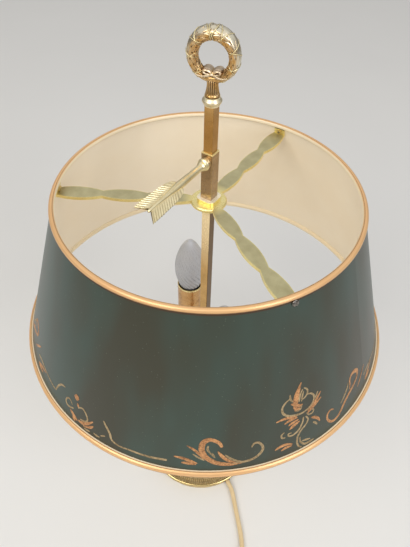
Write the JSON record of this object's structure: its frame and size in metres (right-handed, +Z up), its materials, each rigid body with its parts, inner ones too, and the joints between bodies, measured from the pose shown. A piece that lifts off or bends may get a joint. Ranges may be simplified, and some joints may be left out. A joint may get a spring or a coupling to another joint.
{
  "type": "bouillotte lamp",
  "caption": "Brass table lamp with candle lights, a dished base and a painted metal shade that slides on a square rod.",
  "frame": {"origin": "on the table, under the rod's axis", "axes": "+Z up along the square rod, whose flats face X and Y; the arrow key points along -Y"},
  "size_m": [0.3782, 0.4762, 0.6168],
  "materials": {
    "spun_brass": "polished",
    "cast_brass": "satin",
    "rod_brass": "polished",
    "candle_brass": "polished",
    "green_felt": "matte",
    "zinc_steel": "satin",
    "iron_weight": "matte",
    "black_rubber": "matte",
    "wire_insulation": "matte",
    "shade_paint": "satin",
    "rim_gold": "satin",
    "dark_screw": "matte",
    "cord_cover": "gloss",
    "switch_plastic": "satin",
    "rocker_plastic": "satin",
    "plug_plastic": "satin",
    "pin_metal": "polished",
    "holder_plastic": "matte",
    "frosted_glass": "satin"
  },
  "bodies": {
    "stand": {"base_dish": "spun_brass", "felt_pad": "green_felt", "base_plate": "zinc_steel", "base_weight": "iron_weight", "cord_bush": "black_rubber", "base_nut": "zinc_steel", "base_washer": "zinc_steel", "centre_tube": "zinc_steel", "column_foot": "cast_brass", "column_shaft": "cast_brass", "column_capital": "cast_brass", "arm_hub": "cast_brass", "rod_socket": "cast_brass", "centre_rod": "rod_brass", "finial_collar": "cast_brass", "finial": "cast_brass", "lamp_wires": "wire_insulation", "cord_coil": "cord_cover", "switch_lower": "switch_plastic", "switch_upper": "switch_plastic", "switch_pivot": "zinc_steel", "switch_screws": "zinc_steel", "plug_boot": "plug_plastic", "plug_body": "plug_plastic", "plug_pins": "pin_metal", "cord": "cord_cover", "cord_to_coil": "cord_cover", "cord_to_plug": "cord_cover", "candle_arm_1": "cast_brass", "drip_pan_1": "spun_brass", "candle_cup_1": "cast_brass", "candle_sleeve_1": "candle_brass", "lampholder_1": "holder_plastic", "bulb_cap_1": "pin_metal", "bulb_glass_1": "frosted_glass", "candle_arm_2": "cast_brass", "drip_pan_2": "spun_brass", "candle_cup_2": "cast_brass", "candle_sleeve_2": "candle_brass", "lampholder_2": "holder_plastic", "bulb_cap_2": "pin_metal", "bulb_glass_2": "frosted_glass"},
    "shade_carrier": {"shade_shell": "shade_paint", "shade_top_roll": "rim_gold", "shade_bottom_roll": "rim_gold", "shade_spider": "cast_brass", "shade_screws": "dark_screw", "shade_nuts": "cast_brass", "sliding_sleeve": "rod_brass", "key_boss": "cast_brass"},
    "clamp_key": {"arrow_key": "cast_brass"},
    "switch_rocker": {"switch_rocker": "rocker_plastic"}
  },
  "joints": [
    {"name": "shade_slide", "type": "slide", "parent": "stand", "child": "shade_carrier", "axis": [0, 0, 1], "range_m": [-0.085, 0.0395]},
    {"name": "key_turn", "type": "hinge", "parent": "shade_carrier", "child": "clamp_key", "pos_m": [0, -0.015, 0.511], "axis": [0, -1, 0], "range_deg": [0, 270]},
    {"name": "rocker_tilt", "type": "hinge", "parent": "stand", "child": "switch_rocker", "pos_m": [0.15984, -0.15731, 0.0156], "axis": [0.9229, 0.3851, 0], "range_deg": [-14, 0]}
  ]
}
